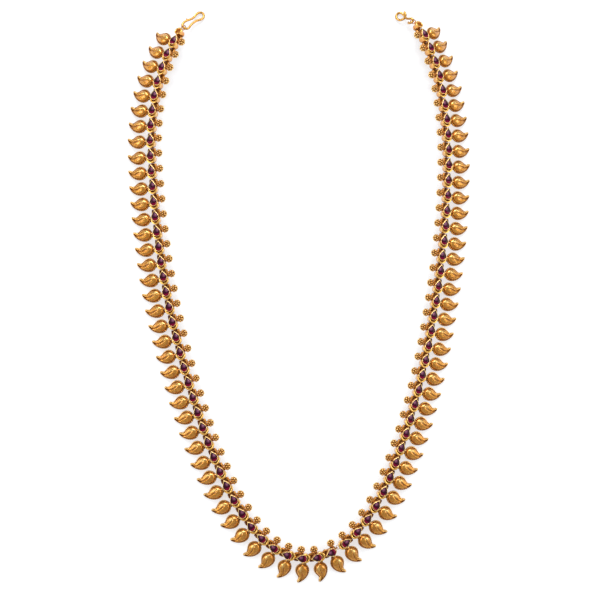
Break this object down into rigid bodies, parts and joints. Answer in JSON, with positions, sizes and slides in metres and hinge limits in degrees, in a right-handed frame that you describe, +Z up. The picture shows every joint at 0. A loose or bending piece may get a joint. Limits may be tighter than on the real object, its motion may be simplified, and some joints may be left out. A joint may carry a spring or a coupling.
{
  "type": "gold necklace",
  "caption": "Long gold chain of linked pear-cut ruby settings, each with a curled mango drop and a granule flower, ending in wire hooks.",
  "frame": {"origin": "middle of the necklace's box, on the surface that it lies on", "axes": "+Z up from the surface, +Y from the bottom of the U to its two hooks, +X to the right as worn side up"},
  "size_m": [0.2146, 0.356, 0.0129],
  "materials": {
    "gold": "antique gold, softly polished, dark in the grooves",
    "ruby": "polished, deep purple red"
  },
  "bodies": {
    "root": {"settings_left": "gold", "settings_right": "gold", "rubies_left": "ruby", "rubies_right": "ruby", "rings_left": "gold", "rings_right": "gold", "end_cup_left": "gold", "end_cup_right": "gold", "end_ring_left": "gold", "end_ring_right": "gold", "hook_left": "gold", "hook_right": "gold"}
  },
  "joints": []
}
